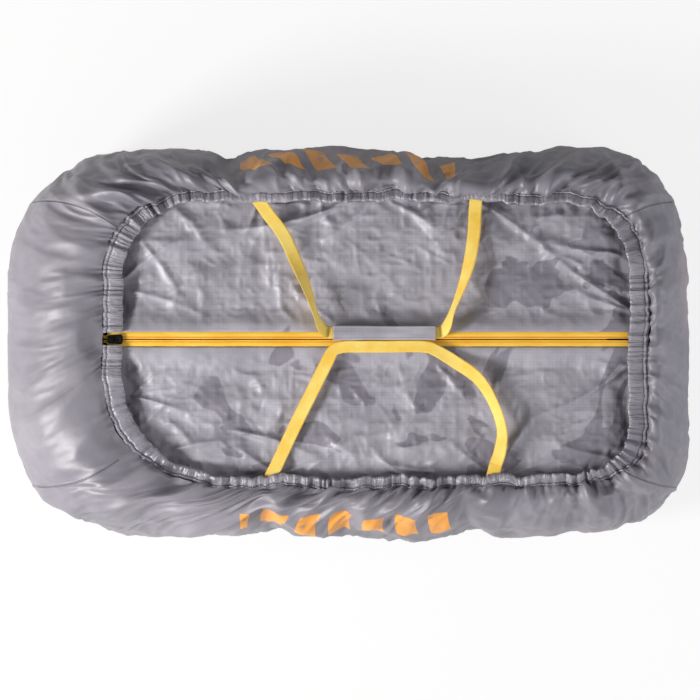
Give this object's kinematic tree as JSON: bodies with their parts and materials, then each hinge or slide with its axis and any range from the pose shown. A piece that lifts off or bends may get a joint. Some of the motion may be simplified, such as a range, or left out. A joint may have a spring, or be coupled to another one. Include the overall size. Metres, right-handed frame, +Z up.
{
  "type": "compression sack",
  "caption": "Soft storage sack with gathered elastic hem, zipped ripstop top, two webbing carry loops and a wrap-round hand grip",
  "frame": {"origin": "on the floor under the middle of the sack's bounding box, as it lies on its base panel", "axes": "+X runs along the zip away from the closed slider, +Y points to the back wall, whose loop carries the grip wrap, +Z points up out of the zipped top"},
  "size_m": [0.9, 0.52, 0.2483],
  "materials": {
    "shell_cloth": "shiny coated taffeta",
    "ripstop": "ripstop nylon with a small grid",
    "hem_cloth": "gathered taffeta with double stitching",
    "zip_yellow": "woven tape with a nylon coil",
    "webbing": "flat woven webbing",
    "slider_black": "black enamel",
    "elastic": "woven elastic",
    "hook_loop": "hook and loop tape"
  },
  "bodies": {
    "shell": {"base_panel": "shell_cloth", "front_wall": "shell_cloth", "right_end_wall": "shell_cloth", "back_wall": "shell_cloth", "left_end_wall": "shell_cloth", "hem_casing": "hem_cloth", "hem_elastic": "elastic", "top_border": "ripstop", "back_tape_head": "zip_yellow", "back_coil_head": "zip_yellow", "back_top_stop": "zip_yellow", "back_tape_tail": "zip_yellow", "back_coil_tail": "zip_yellow", "back_left_strap_anchor": "webbing", "back_right_strap_anchor": "webbing", "front_tape_head": "zip_yellow", "front_coil_head": "zip_yellow", "front_top_stop": "zip_yellow", "front_tape_tail": "zip_yellow", "front_coil_tail": "zip_yellow", "front_left_strap_anchor": "webbing", "front_right_strap_anchor": "webbing", "bottom_stop": "zip_yellow"},
    "back_flap": {"back_flap_panel": "ripstop", "back_zip_tape": "zip_yellow", "back_zip_coil": "zip_yellow", "back_left_strap_root": "webbing", "back_right_strap_root": "webbing"},
    "front_flap": {"front_flap_panel": "ripstop", "front_zip_tape": "zip_yellow", "front_zip_coil": "zip_yellow", "front_left_strap_root": "webbing", "front_right_strap_root": "webbing"},
    "back_loop": {"back_loop_webbing": "webbing", "grip_wrap": "ripstop", "loop_strip": "hook_loop"},
    "front_loop": {"front_loop_webbing": "webbing"},
    "wrap_flap": {"grip_flap": "ripstop", "hook_strip": "hook_loop"},
    "slider": {"slider_body": "slider_black"},
    "pull": {"pull_tab": "slider_black"}
  },
  "joints": [
    {"name": "back_flap_open", "type": "hinge", "parent": "shell", "child": "back_flap", "pos_m": [0.037, 0.181, 0.2254], "axis": [-1, 0, 0], "range_deg": [0, 50]},
    {"name": "front_flap_open", "type": "hinge", "parent": "shell", "child": "front_flap", "pos_m": [0.037, -0.167, 0.2254], "axis": [1, 0, 0], "range_deg": [0, 50]},
    {"name": "back_loop_lift", "type": "hinge", "parent": "back_flap", "child": "back_loop", "pos_m": [0.031, 0.173, 0.22715], "axis": [-1, 0, 0], "range_deg": [0, 100]},
    {"name": "front_loop_lift", "type": "hinge", "parent": "front_flap", "child": "front_loop", "pos_m": [0.051, -0.159, 0.22715], "axis": [1, 0, 0], "range_deg": [0, 100]},
    {"name": "grip_wrap_open", "type": "hinge", "parent": "back_loop", "child": "wrap_flap", "pos_m": [0.0485, 0.0239, 0.23665], "axis": [-1, 0, 0], "range_deg": [0, 150]},
    {"name": "zip_slide", "type": "slide", "parent": "shell", "child": "slider", "axis": [1, 0, 0], "range_m": [0, 0.664]},
    {"name": "pull_turn", "type": "hinge", "parent": "slider", "child": "pull", "pos_m": [-0.3109, 0.006, 0.2274], "axis": [0, -1, 0], "range_deg": [0, 150]}
  ]
}
